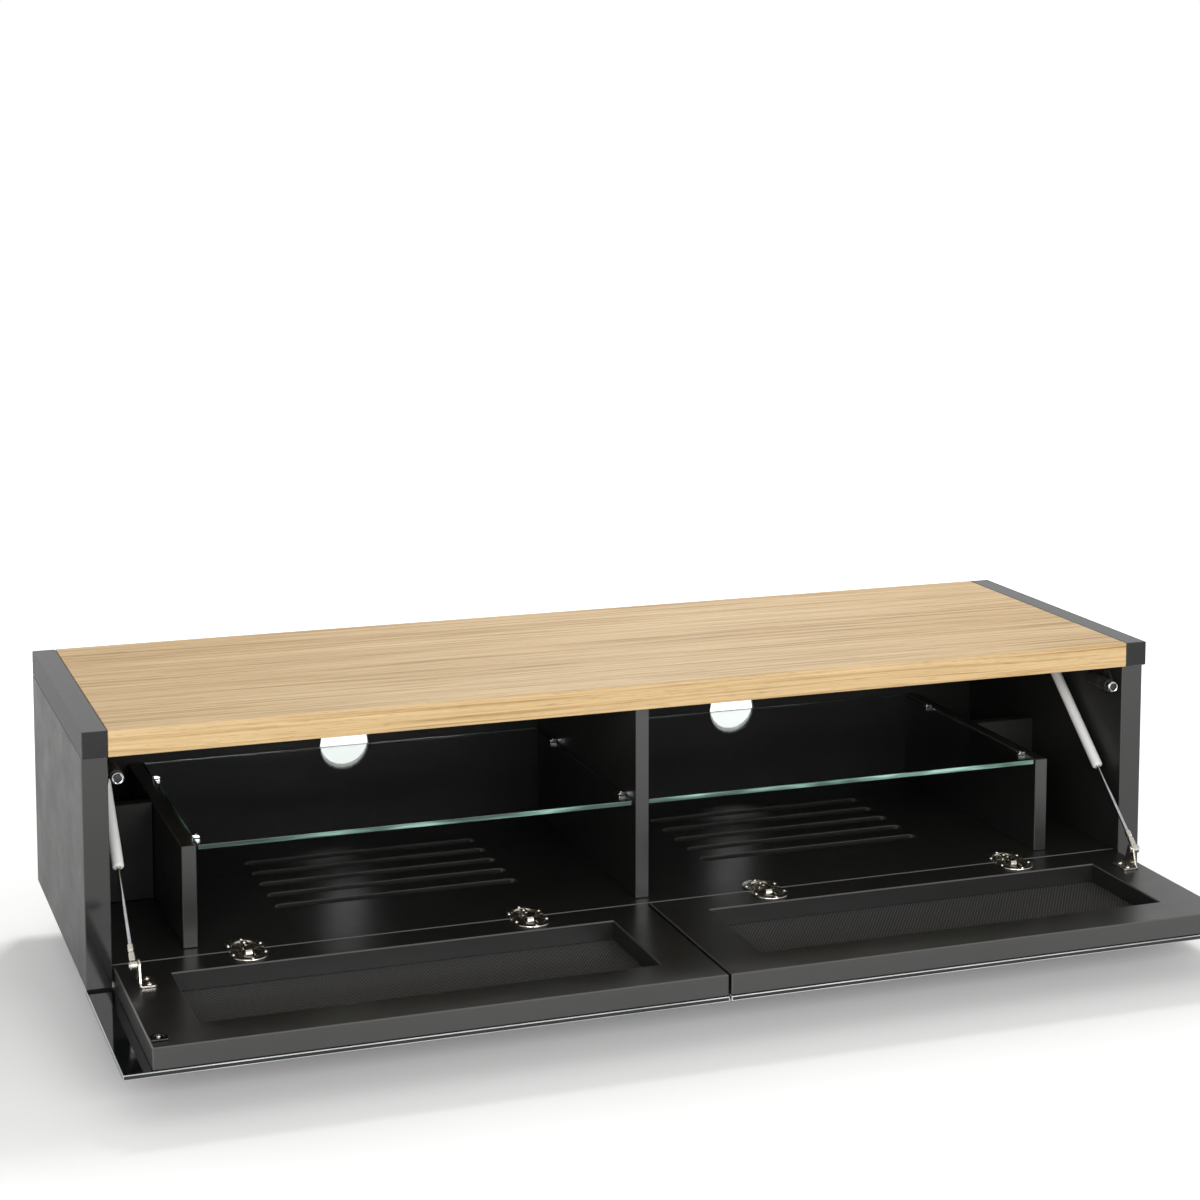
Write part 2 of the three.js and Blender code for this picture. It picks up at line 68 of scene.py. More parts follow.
MM = 0.001
SIDES = (("left", -1), ("right", 1))
X, Y, Z = Vector((1, 0, 0)), Vector((0, 1, 0)), Vector((0, 0, 1))


# ---------------------------------------------------------------- finishes

def linear(hex_code):
    """An sRGB hex value as the linear colour that a shader takes."""
    parts = [int(hex_code[i:i + 2], 16) / 255 for i in (1, 3, 5)]
    return [p / 12.92 if p <= 0.04045 else ((p + 0.055) / 1.055) ** 2.4 for p in parts] + [1.0]


def per(size_mm):
    """How often a feature of this real size comes in a metre."""
    return 1000.0 / size_mm


def add(tree, kind, sockets=None, stops=None, **settings):
    """Adds a node with its settings, its socket values and links, and a ramp's stops.

    A Mix node's two plain values are its sockets 2 and 3, and its two colours 6 and 7.
    """
    made = tree.nodes.new("ShaderNode" + kind)
    for name, value in settings.items():
        setattr(made, name, value)
    for name, value in (sockets or {}).items():
        if isinstance(value, bpy.types.NodeSocket):
            tree.links.new(value, made.inputs[name])
        else:
            made.inputs[name].default_value = value
    if stops:
        ramp = made.color_ramp.elements
        while len(ramp) < len(stops):
            ramp.new(1.0)
        for element, (place, shade) in zip(ramp, stops):
            element.position = place
            element.color = linear(shade) if isinstance(shade, str) else (shade, shade, shade, 1)
    return made


def finish(name, **values):
    """A new material with its shader's own sockets set; returns it with its tree, shader and place."""
    material = bpy.data.materials.new(name)
    material.use_nodes = True
    tree = material.node_tree
    shader = tree.nodes["Principled BSDF"]
    for socket, value in values.items():
        shader.inputs[socket.replace("_", " ")].default_value = value
    place = add(tree, "TexCoord")
    return material, tree, shader, place.outputs["Object"]


def grain_at(tree, place, lengths_mm, **noise):
    """Noise whose features have these real lengths along x, y and z."""
    scaled = add(tree, "Mapping", {"Vector": place, "Scale": [per(v) for v in lengths_mm]})
    sockets = {"Vector": scaled.outputs["Vector"], "Scale": 1.0, "Detail": 2.0, **noise}
    return add(tree, "TexNoise", sockets).outputs["Fac"]


def spread(tree, value, low, high, to_low, to_high):
    """Stretches a value from one range to another."""
    sockets = {"Value": value, "From Min": low, "From Max": high, "To Min": to_low, "To Max": to_high}
    return add(tree, "MapRange", sockets).outputs["Result"]


def relief(tree, shader, height, depth_mm, strength=1.0):
    """Lets a height of this real depth catch the light."""
    bump = add(tree, "Bump", {"Height": height, "Distance": depth_mm * MM, "Strength": strength})
    tree.links.new(bump.outputs["Normal"], shader.inputs["Normal"])


def eased_edge(tree):
    """1 on the narrow eased edges of a board, 0 on its flat faces."""
    facing = add(tree, "SeparateXYZ", {"Vector": add(tree, "TexCoord").outputs["Normal"]})
    sizes = [add(tree, "Math", {0: facing.outputs[i]}, operation="ABSOLUTE").outputs[0] for i in "XYZ"]
    larger = add(tree, "Math", {0: sizes[0], 1: sizes[1]}, operation="MAXIMUM").outputs[0]
    largest = add(tree, "Math", {0: larger, 1: sizes[2]}, operation="MAXIMUM").outputs[0]
    return spread(tree, largest, 0.97, 0.80, 0.0, 1.0)


def oak_veneer():
    # straight-grained oak veneer under matt lacquer: long pale and tan growth lines that run along
    # the top and its front edge, with short dark pores and a soft sheen
    material, tree, shader, place = finish("oak_veneer_matt_lacquered", IOR=1.5,
                                           Specular_IOR_Level=0.25)
    scaled = add(tree, "Mapping", {"Vector": place, "Scale": (per(380), per(70), per(70))})
    wander = add(tree, "TexNoise", {"Vector": scaled.outputs["Vector"], "Scale": 1.0,
                                    "Detail": 1.0}).outputs["Color"]
    sway = add(tree, "VectorMath", {0: wander, 1: (0.0, 14 * MM, 8 * MM), 2: place},
               operation="MULTIPLY_ADD").outputs["Vector"]
    bands = grain_at(tree, sway, (1600, 55, 30), Detail=2.0, Roughness=0.5)
    lines = grain_at(tree, sway, (420, 6, 3.0), Detail=3.0, Roughness=0.65)
    fine = grain_at(tree, sway, (140, 2.6, 1.2), Detail=2.0)
    pores = grain_at(tree, sway, (20, 0.8, 0.8), Detail=1.0)
    mixed = add(tree, "Mix", {"Factor": 0.72, 2: bands, 3: lines}, data_type="FLOAT").outputs[0]
    wood = add(tree, "ValToRGB", {"Fac": mixed}, stops=[
        (0.32, "#9F7F50"), (0.43, "#BE9C6B"), (0.50, "#C8A97A"), (0.60, "#CEB183"), (0.74, "#D5BA8F")])
    ridge = spread(tree, lines, 0.38, 0.50, 0.88, 1.0)
    streak = spread(tree, fine, 0.34, 0.66, 0.88, 1.07)
    pored = spread(tree, pores, 0.60, 0.70, 1.0, 0.76)
    shade = add(tree, "Math", {0: streak, 1: pored}, operation="MULTIPLY").outputs[0]
    shade = add(tree, "Math", {0: shade, 1: ridge}, operation="MULTIPLY").outputs[0]
    tinted = add(tree, "VectorMath", {0: wood.outputs["Color"], "Scale": shade}, operation="SCALE")
    tree.links.new(tinted.outputs["Vector"], shader.inputs["Base Color"])
    tree.links.new(spread(tree, lines, 0.3, 0.7, 0.56, 0.46), shader.inputs["Roughness"])
    relief(tree, shader, shade, 0.05)
    return material


def satin_lacquer():
    # sprayed satin lacquer on board: near-black with a grey veil where it catches the light, a very
    # faint long-wave orange peel, faint wiping marks, and eased edges painted paler as a highlight
    # line
    material, tree, shader, place = finish("satin_black_lacquer_sprayed", IOR=1.5,
                                           Specular_IOR_Level=0.9)
    cloud = grain_at(tree, place, (160, 160, 160), Detail=3.0)
    painted_edge_highlight = eased_edge(tree)
    tone = add(tree, "ValToRGB", {"Fac": cloud}, stops=[(0.3, "#151514"), (0.7, "#1C1C1B")])
    # the eased edges are painted a paler grey (#454340) as a highlight line
    colour = add(tree, "Mix", {0: painted_edge_highlight, 6: tone.outputs["Color"], 7: linear("#454340")},
                 data_type="RGBA").outputs[2]
    tree.links.new(colour, shader.inputs["Base Color"])
    marks = grain_at(tree, place, (60, 25, 25), Detail=4.0, Roughness=0.6)
    tree.links.new(spread(tree, marks, 0.3, 0.7, 0.28, 0.34), shader.inputs["Roughness"])
    peel = grain_at(tree, place, (14, 14, 14), Detail=1.0)
    relief(tree, shader, peel, 0.004, 0.3)
    return material


def dull_foil():
    # black paper foil on the thin back boards: flat and dull, with a fine calendered grain, so the
    # depth of the bays falls away into shadow
    material, tree, shader, place = finish("matt_black_paper_foil", IOR=1.45,
                                           Specular_IOR_Level=0.4)
    cloud = grain_at(tree, place, (120, 120, 120), Detail=3.0)
    tone = add(tree, "ValToRGB", {"Fac": cloud}, stops=[(0.3, "#131312"), (0.7, "#1A1A19")])
    tree.links.new(tone.outputs["Color"], shader.inputs["Base Color"])
    grain = grain_at(tree, place, (90, 90, 9), Detail=3.0)
    tree.links.new(spread(tree, grain, 0.3, 0.7, 0.50, 0.62), shader.inputs["Roughness"])
    return material


def gloss_lacquer():
    # polished black lacquer over open-grained ash: deep black with sharp reflections on top and in
    # front, a faint ripple of the grain under the gloss, and outer faces left satin
    material, tree, shader, place = finish("polished_black_lacquer", IOR=1.52,
                                           Specular_IOR_Level=0.35)
    grain = grain_at(tree, place, (4, 220, 4), Detail=3.0)
    painted_edge_highlight = eased_edge(tree)
    tone = add(tree, "ValToRGB", {"Fac": grain}, stops=[(0.35, "#060607"), (0.65, "#101010")])
    # the eased edges are painted a paler grey (#333231) as a highlight line
    colour = add(tree, "Mix", {0: painted_edge_highlight, 6: tone.outputs["Color"], 7: linear("#333231")},
                 data_type="RGBA").outputs[2]
    tree.links.new(colour, shader.inputs["Base Color"])
    facing = add(tree, "SeparateXYZ", {"Vector": add(tree, "TexCoord").outputs["Normal"]})
    sideways = add(tree, "Math", {0: facing.outputs["X"]}, operation="ABSOLUTE").outputs[0]
    polished = spread(tree, grain, 0.3, 0.7, 0.08, 0.2)
    outer = spread(tree, sideways, 0.6, 0.95, 0.0, 1.0)
    gloss = add(tree, "Mix", {"Factor": outer, 2: polished, 3: 0.5}, data_type="FLOAT").outputs[0]
    tree.links.new(gloss, shader.inputs["Roughness"])
    relief(tree, shader, grain, 0.02, 0.4)
    return material


def side_lacquer():
    # side panels: satin black lacquer with their front edges flatted and polished, so that the edge
    # mirrors the floor while the broad outer face stays a soft grey black
    material, tree, shader, place = finish("satin_black_lacquer_polished_edge", IOR=1.5,
                                           Specular_IOR_Level=0.7)
    facing = add(tree, "SeparateXYZ", {"Vector": add(tree, "TexCoord").outputs["Normal"]})
    ahead = add(tree, "Math", {0: facing.outputs["Y"], 1: -1.0}, operation="MULTIPLY").outputs[0]
    front = spread(tree, ahead, 0.6, 0.95, 0.0, 1.0)
    cloud = grain_at(tree, place, (140, 140, 140), Detail=3.0)
    tone = add(tree, "ValToRGB", {"Fac": cloud}, stops=[(0.3, "#161615"), (0.7, "#1D1D1C")])
    painted_edge_highlight = eased_edge(tree)
    # the eased edges are painted a paler grey (#454340) as a highlight line
    colour = add(tree, "Mix", {0: painted_edge_highlight, 6: tone.outputs["Color"], 7: linear("#454340")},
                 data_type="RGBA").outputs[2]
    tree.links.new(colour, shader.inputs["Base Color"])
    marks = grain_at(tree, place, (60, 60, 40), Detail=4.0, Roughness=0.6)
    soft = spread(tree, marks, 0.3, 0.7, 0.46, 0.56)
    gloss = add(tree, "Mix", {"Factor": front, 2: soft, 3: 0.09}, data_type="FLOAT").outputs[0]
    tree.links.new(gloss, shader.inputs["Roughness"])
    peel = grain_at(tree, place, (2.2, 2.2, 2.2), Detail=1.0)
    relief(tree, shader, peel, 0.01, 0.4)
    return material


def shelf_glass():
    # clear float glass: nearly invisible face, faint green cast, smudges only in the gloss
    material, tree, shader, place = finish("clear_float_glass", IOR=1.5, Transmission_Weight=1.0,
                                           Specular_IOR_Level=0.05, Base_Color=linear("#F1FAF6"))
    smudge = grain_at(tree, place, (70, 70, 70), Detail=4.0)
    tree.links.new(spread(tree, smudge, 0.4, 0.75, 0.0, 0.05), shader.inputs["Roughness"])
    return material


def glass_edge():
    # ground and polished edge of float glass, where the light gathered in the pane comes out: aqua
    # green in darker lengths, with the brighter lengths painted in as highlights
    material, tree, shader, place = finish("polished_glass_edge_aqua", IOR=1.5,
                                           Transmission_Weight=0.25)
    lengths = grain_at(tree, place, (90, 90, 9), Detail=2.0)
    tone = add(tree, "ValToRGB", {"Fac": lengths}, stops=[
        (0.34, "#1F3A31"), (0.50, "#4C6E62"), (0.60, "#7FA999"), (0.70, "#B9EAD9")])
    tree.links.new(tone.outputs["Color"], shader.inputs["Base Color"])
    tree.links.new(spread(tree, lengths, 0.3, 0.7, 0.22, 0.12), shader.inputs["Roughness"])
    return material


def smoked_glass():
    # dark tinted door glass: mirror-like and almost black, with a trace of finger marks in the gloss
    material, tree, shader, place = finish("smoked_door_glass", IOR=1.52, Transmission_Weight=0.7,
                                           Base_Color=linear("#1C1E20"))
    smudge = grain_at(tree, place, (45, 45, 45), Detail=5.0, Roughness=0.6)
    tree.links.new(spread(tree, smudge, 0.45, 0.8, 0.05, 0.14), shader.inputs["Roughness"])
    return material


def smoked_edge():
    # the polished arris round the door glass: painted pale grey as one thin bright highlight line
    material, tree, shader, place = finish("polished_arris_painted_highlight", IOR=1.5)
    lengths = grain_at(tree, place, (120, 120, 120), Detail=2.0)
    tone = add(tree, "ValToRGB", {"Fac": lengths}, stops=[(0.3, "#9AA09E"), (0.7, "#D5DAD8")])
    tree.links.new(tone.outputs["Color"], shader.inputs["Base Color"])
    tree.links.new(spread(tree, lengths, 0.3, 0.7, 0.2, 0.1), shader.inputs["Roughness"])
    return material


def grille_mesh():
    # powder-coated expanded steel mesh behind the door glass: dull strands round dark diamond holes.
    # The real holes are about 2 by 3 mm; they are drawn at 3.6 by 5.6 mm so that they show
    material, tree, shader, place = finish("powder_coated_expanded_mesh", IOR=1.5)
    axes = add(tree, "SeparateXYZ", {"Vector": place}).outputs
    hole_wide, hole_deep = 3.6, 5.6
    across = add(tree, "Math", {0: axes["X"], 1: per(hole_wide) * math.pi},
                 operation="MULTIPLY").outputs[0]
    down = add(tree, "Math", {0: axes["Y"], 1: per(hole_deep) * math.pi},
               operation="MULTIPLY").outputs[0]
    waves = []
    for operation in ("ADD", "SUBTRACT"):
        slant = add(tree, "Math", {0: across, 1: down}, operation=operation).outputs[0]
        wave = add(tree, "Math", {0: slant}, operation="SINE").outputs[0]
        waves.append(add(tree, "Math", {0: wave}, operation="ABSOLUTE").outputs[0])
    hole = add(tree, "Math", {0: waves[0], 1: waves[1]}, operation="MINIMUM").outputs[0]
    strand = spread(tree, hole, 0.58, 0.34, 0.0, 1.0)
    colour = add(tree, "Mix", {0: strand, 6: linear("#040404"), 7: linear("#494846")},
                 data_type="RGBA").outputs[2]
    tree.links.new(colour, shader.inputs["Base Color"])
    tree.links.new(spread(tree, strand, 0.0, 1.0, 0.8, 0.36), shader.inputs["Roughness"])
    relief(tree, shader, strand, 0.35, 0.8)
    return material


def satin_nickel():
    # nickel-plated pressed steel: warm grey metal, lightly tumbled so that highlights spread softly
    material, tree, shader, place = finish("satin_nickel_plate", Metallic=1.0)
    cloud = grain_at(tree, place, (7, 7, 7), Detail=3.0)
    tone = add(tree, "ValToRGB", {"Fac": cloud}, stops=[(0.3, "#C4BEB3"), (0.7, "#E2DED5")])
    tree.links.new(tone.outputs["Color"], shader.inputs["Base Color"])
    tree.links.new(spread(tree, cloud, 0.3, 0.7, 0.30, 0.18), shader.inputs["Roughness"])
    relief(tree, shader, grain_at(tree, place, (0.5, 0.5, 0.5)), 0.01, 0.4)
    return material


def black_nickel():
    # black nickel plate on the strike plates: dark smoky metal with sharp rims
    material, tree, shader, place = finish("black_nickel_plate", Metallic=1.0)
    cloud = grain_at(tree, place, (6, 6, 6), Detail=3.0)
    tone = add(tree, "ValToRGB", {"Fac": cloud}, stops=[(0.3, "#38383A"), (0.7, "#4C4B4B")])
    tree.links.new(tone.outputs["Color"], shader.inputs["Base Color"])
    tree.links.new(spread(tree, cloud, 0.3, 0.7, 0.30, 0.16), shader.inputs["Roughness"])
    return material


def chrome():
    # bright chrome plate: cold mirror with hair-fine polishing haze
    material, tree, shader, place = finish("bright_chrome_plate", Metallic=1.0)
    haze = grain_at(tree, place, (5, 5, 5), Detail=4.0)
    tone = add(tree, "ValToRGB", {"Fac": haze}, stops=[(0.3, "#B4B8BA"), (0.7, "#D8DBDD")])
    tree.links.new(tone.outputs["Color"], shader.inputs["Base Color"])
    tree.links.new(spread(tree, haze, 0.3, 0.75, 0.05, 0.14), shader.inputs["Roughness"])
    return material


def silver_paint():
    # metallic silver paint on the strut's tube: pale grey with a fine sparkle and a soft sheen
    material, tree, shader, place = finish("metallic_silver_paint", Metallic=0.05, IOR=1.5,
                                           Coat_Weight=0.4, Coat_Roughness=0.2)
    flake = grain_at(tree, place, (0.6, 0.6, 0.6), Detail=1.0)
    tone = add(tree, "ValToRGB", {"Fac": flake}, stops=[(0.3, "#F0F1F0"), (0.7, "#FCFCFB")])
    tree.links.new(tone.outputs["Color"], shader.inputs["Base Color"])
    tree.links.new(spread(tree, flake, 0.3, 0.7, 0.40, 0.30), shader.inputs["Roughness"])
    return material


def black_plastic():
    # injection-moulded black plastic: dull, with the fine spark-eroded texture of its mould
    material, tree, shader, place = finish("moulded_black_plastic", IOR=1.46)
    cloud = grain_at(tree, place, (30, 30, 30), Detail=3.0)
    tone = add(tree, "ValToRGB", {"Fac": cloud}, stops=[(0.3, "#1B1B1B"), (0.7, "#262625")])
    tree.links.new(tone.outputs["Color"], shader.inputs["Base Color"])
    texture = grain_at(tree, place, (0.7, 0.7, 0.7), Detail=2.0)
    tree.links.new(spread(tree, texture, 0.3, 0.7, 0.5, 0.65), shader.inputs["Roughness"])
    relief(tree, shader, texture, 0.04, 0.6)
    return material


def studio_floor():
    # matt painted studio floor: pale and plain, with a barely visible mottle, and a painted glow that
    # grows further out
    material, tree, shader, place = finish("matt_painted_floor", IOR=1.45,
                                           Specular_IOR_Level=0.2, Roughness=0.85,
                                           Emission_Color=(1, 1, 1, 1))
    mottle = grain_at(tree, place, (400, 400, 400), Detail=3.0)
    tone = add(tree, "ValToRGB", {"Fac": mottle}, stops=[(0.2, "#F3F3F2"), (0.8, "#F7F7F6")])
    tree.links.new(tone.outputs["Color"], shader.inputs["Base Color"])
    away = add(tree, "VectorMath", {0: place}, operation="LENGTH").outputs["Value"]
    tree.links.new(spread(tree, away, 0.6, 2.6, 0.13, 0.70), shader.inputs["Emission Strength"])
    return material


OAK = oak_veneer()
SATIN = satin_lacquer()
FOIL = dull_foil()
SIDE = side_lacquer()
GLOSS = gloss_lacquer()
CLEAR = shelf_glass()
AQUA = glass_edge()
SMOKED = smoked_glass()
ARRIS = smoked_edge()
MESH = grille_mesh()
NICKEL = satin_nickel()
CHROME = chrome()
DARK_NICKEL = black_nickel()
SILVER = silver_paint()
PLASTIC = black_plastic()

# what each CAD node that stays is finished in
for prefix, material in (("top_panel", OAK), ("top_strip", GLOSS), ("side_panel", SIDE),
                         ("bottom_panel", SATIN), ("back_panel", FOIL), ("centre_divider", SATIN),
                         ("partition", SATIN), ("bay_back", FOIL), ("door_frame", SATIN),
                         ("door_mesh", MESH)):
    for name, node in nodes.items():
        if name.startswith(prefix):
            node.material_slots[0].material = material


# ---------------------------------------------------------------- making by hand

def clear():
    """Leaves edit mode and lets go of everything."""
    if bpy.context.mode != "OBJECT":
        bpy.ops.object.mode_set(mode="OBJECT")
    bpy.ops.object.select_all(action="DESELECT")


def hold(piece):
    """Makes one piece the one being worked on."""
    clear()
    piece.select_set(True)
    bpy.context.view_layer.objects.active = piece


def settle(piece):
    """Puts the piece's place into its mesh."""
    hold(piece)
    bpy.ops.object.transform_apply(location=True, rotation=True, scale=True)
    return piece


def set_down(piece, place, towards):
    """Points the piece's +Z along a direction and puts it in its place."""
    piece.rotation_mode = "QUATERNION"
    piece.rotation_quaternion = Z.rotation_difference(towards)
    piece.location = place
    return settle(piece)


def edit(piece, mode="FACE"):
    """Goes into edit mode with the whole piece selected."""
    hold(piece)
    bpy.ops.object.mode_set(mode="EDIT")
    bpy.ops.mesh.select_mode(type=mode)
    bpy.ops.mesh.select_all(action="SELECT")


def choose(piece, test):
    """Selects the faces whose middle and normal pass the test."""
    bpy.ops.mesh.select_mode(type="FACE")
    bpy.ops.mesh.select_all(action="DESELECT")
    shape = bmesh.from_edit_mesh(piece.data)
    for face in shape.faces:
        face.select_set(bool(test(face.calc_center_median(), face.normal)))
    shape.select_flush_mode()
    bmesh.update_edit_mesh(piece.data)


def draw(name, points):
    """Begins a piece as one corner and pulls it from point to point along an outline."""
    clear()
    bpy.ops.mesh.primitive_plane_add(size=MM)
    piece = bpy.context.object
    piece.name = name
    edit(piece, "VERT")
    bpy.ops.mesh.merge(type="CENTER")
    bpy.ops.transform.translate(value=points[0])
    for start, end in zip(points, points[1:]):
        bpy.ops.mesh.extrude_vertices_move(TRANSFORM_OT_translate={"value": end - start})
    return piece


def tidy(merge_mm=0.001):
    """Merges doubled points and turns every face outwards."""
    bpy.ops.mesh.select_all(action="SELECT")
    bpy.ops.mesh.remove_doubles(threshold=merge_mm * MM)
    bpy.ops.mesh.normals_make_consistent(inside=False)


def smooth(piece, angle=32):
    """Smooth shading on all but the edges sharper than this angle."""
    hold(piece)
    bpy.ops.object.shade_smooth_by_angle(angle=math.radians(angle))
    return piece


def ease(piece, width_mm, segments=2, angle=35, slot=0):
    """Rounds a piece's sharp edges with a bevel."""
    hold(piece)
    modifier = piece.modifiers.new("eased_edges", "BEVEL")
    modifier.width = width_mm * MM
    modifier.segments = segments
    modifier.limit_method = "ANGLE"
    modifier.angle_limit = math.radians(angle)
    modifier.material = slot
    bpy.ops.object.modifier_apply(modifier=modifier.name)
    return piece


def plate(name, outline, thickness, material, easing=0.3):
    """An outline of points pulled into a plate along a vector, with its edges eased."""
    piece = draw(name, outline)
    bpy.ops.mesh.select_all(action="SELECT")
    bpy.ops.mesh.edge_face_add()
    bpy.ops.mesh.extrude_region_move(TRANSFORM_OT_translate={"value": thickness})
    tidy()
    clear()
    piece.data.materials.append(material)
    ease(piece, easing)
    return smooth(piece)


def turn(name, profile_mm, place, towards, material, sides=32, ring=False, easing=0.0):
    """A profile of radius and height, spun round its axis and then set in place."""
    points = [Vector((radius, 0, height)) * MM for radius, height in profile_mm]
    piece = draw(name, points + points[:1] if ring else points)
    bpy.ops.mesh.select_all(action="SELECT")
    bpy.ops.mesh.spin(steps=sides, angle=math.tau, center=(0, 0, 0), axis=(0, 0, 1))
    tidy()
    clear()
    piece.data.materials.append(material)
    if easing:
        ease(piece, easing)
    return smooth(set_down(piece, place, towards))


def rough_block(name, low, high, *materials):
    """A sharp block between two corners, the start of a pane or a cutter."""
    clear()
    bpy.ops.mesh.primitive_cube_add(size=1, location=(low + high) / 2, scale=high - low)
    piece = settle(bpy.context.object)
    piece.name = name
    for material in materials:
        piece.data.materials.append(material)
    return piece


def block(name, low, high, material, easing=0.3, segments=2):
    """A block between two corners with eased edges."""
    return smooth(ease(rough_block(name, low, high, material), easing, segments))


def carve(piece, cutter):
    """Cuts one piece out of another and throws the cutter away."""
    hold(piece)
    modifier = piece.modifiers.new("cut", "BOOLEAN")
    modifier.operation = "DIFFERENCE"
    modifier.solver = "EXACT"
    modifier.object = cutter
    bpy.ops.object.modifier_apply(modifier=modifier.name)
    bpy.data.objects.remove(cutter)
    return piece


def weld(name, parts):
    """Joins parts into one piece."""
    clear()
    for part in parts:
        part.select_set(True)
    bpy.context.view_layer.objects.active = parts[0]
    bpy.ops.object.join()
    parts[0].name = name
    parts[0].data.name = name
    return parts[0]


def mount(piece, body, slot, *stands_for):
    """Flattens the shading of the broad faces, then hides the nodes the piece stands for and hangs it
    on what it moves with. The slot, the name of a finish, is not used."""
    hold(piece)
    modifier = piece.modifiers.new("flat_faces", "WEIGHTED_NORMAL")
    modifier.keep_sharp = True
    bpy.ops.object.modifier_apply(modifier=modifier.name)
    clear()
    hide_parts(*stands_for)
    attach(piece, body)


def cross_screw(radius_mm, material):
    """A pan-head screw with a cross recess, head up, made at the origin."""
    r = radius_mm
    crown = r * 0.48
    slot_long, slot_wide = r * 1.25, r * 0.26
    head = turn("screw_pattern", [(0, -0.6), (r * 0.96, -0.6), (r, 0.1), (r * 0.9, r * 0.28),
                                  (r * 0.6, r * 0.42), (0, crown)],
                Vector(), Z, material, sides=20)
    for slot_x, slot_y in ((slot_long, slot_wide), (slot_wide, slot_long)):
        half = Vector((slot_x / 2, slot_y / 2, r * 0.3)) * MM
        middle = Vector((0, 0, crown)) * MM
        carve(head, block("screw_cross", middle - half, middle + half, material, 0.02, 1))
    return smooth(head)


def put(pattern, place, towards=Z):
    """A copy of a finished pattern piece, with its own mesh, set in place."""
    hold(pattern)
    bpy.ops.object.duplicate(linked=False)
    return set_down(bpy.context.object, place, towards)


# ---------------------------------------------------------------- places taken from the frame

# FRONT is the front edge of the top; FACE is the level of the bottom panel's and the doors' face
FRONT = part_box("top_panel")[0].y
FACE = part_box("bottom_panel")[1].z
PIN = Vector(joints["left_door"]["pos_m"])
SIDE_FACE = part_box("side_panel_right")[0].x
STRUT_HEAD = Vector(joints["right_strut_swing"]["pos_m"])


def spot(x, y, z):
    """A place in mm: from the middle, from the front edge of the top, and from the floor."""
    return Vector((x * MM, FRONT + y * MM, z * MM))


small_screw = cross_screw(2.1, NICKEL)
large_screw = cross_screw(3.0, NICKEL)
grub_screw = cross_screw(1.5, CHROME)
dark_screw = cross_screw(2.1, PLASTIC)

# ---------------------------------------------------------------- flap hinges

FLANGE = 20.5
FLANGE_TOP = 1.5
CUP_RADIUS = 15.7
SCREW_REACH = 16.6
AXLE_HALF = 14.5
ARM_HALF = 3.5
ARM_TOP = 10.2
CHEEK_FROM, CHEEK_THICK = 6.2, 1.6
SPRING_STEP = 9.4
BOARD_HALF_FROM = 16.3
# half sections, as radius and height over the panel's face
RIM = [(CUP_RADIUS, 0.3), (FLANGE - 0.2, 0.3), (FLANGE, 0.6), (FLANGE - 0.2, 1.3),
       (FLANGE - 0.9, FLANGE_TOP)]
CUP = [(0, -12), (CUP_RADIUS, -12), *RIM, (15.0, FLANGE_TOP), (14.3, 1.1), (14.2, -0.2),
       (13.8, -10.0), (12.8, -10.5), (0, -10.5)]
DISH = [(0, -9), (CUP_RADIUS, -9), *RIM, (14.2, FLANGE_TOP), (13.4, 1.0), (12.8, -0.2),
        (12.2, -0.5), (0, -0.5)]
COVER = [(0, 0.2), (14.1, 0.2), (14.1, 0.9), (13.8, 1.1), (0, 1.1)]
# side views of the bridging arm and of a cheek beside it, counted from the pin
ARM = [(2.2, 2.0), (2.7, 5.6), (4.2, 8.0), (6.5, 8.4), (14, 8.4), (16, 7.4), (30, 7.4), (30, 9.0),
       (28.6, 10.2), (17, 10.2), (14, 10.6), (3.5, 10.6), (0.4, 10.2), (-1.5, 8.2), (-2.2, 5.5),
       (-2.2, 2.0)]
CHEEK = [(-6.5, -3.8), (2.6, -3.8), (3.6, -1.0), (3.2, 2.4), (0.5, 3.8), (-4.5, 3.4), (-6.5, 1.5)]


def bush(bore, radius, half, chamfer):
    """The half section of a bush, with its outer edges taken off."""
    return [(bore, -half), (radius - chamfer, -half), (radius, -half + chamfer),
            (radius, half - chamfer), (radius - chamfer, half), (bore, half)]


def trimmed_flange(name, profile, middle, edge_y, keep):
    """A turned hinge cup whose flange is cut straight along the seam."""
    piece = turn(name, profile, middle, Z, NICKEL, sides=48)
    edit(piece)
    bpy.ops.mesh.bisect(plane_co=(0, edge_y, 0), plane_no=(0, -keep, 0), clear_outer=True,
                        use_fill=True)
    clear()
    return smooth(piece)


def slotted_cover(middle, pin, edge_y):
    """The plate that closes a door cup, slotted where the arm swings through."""
    cover = turn("cover", COVER, middle, Z, NICKEL, sides=48)
    slot_half = 4.4 * MM
    low = Vector((pin.x - slot_half, pin.y - 11.8 * MM, FACE - 2 * MM))
    high = Vector((pin.x + slot_half, edge_y + 5 * MM, FACE + 4 * MM))
    return carve(cover, block("slot", low, high, NICKEL, 0.6, 2))


def flange_screws(middle, far):
    """Three screws in a flange: one to each side and one away from the seam."""
    places = [(SCREW_REACH, 0), (-SCREW_REACH, 0), (0, far * SCREW_REACH)]
    return [put(small_screw, middle + Vector((x, y, FLANGE_TOP)) * MM) for x, y in places]


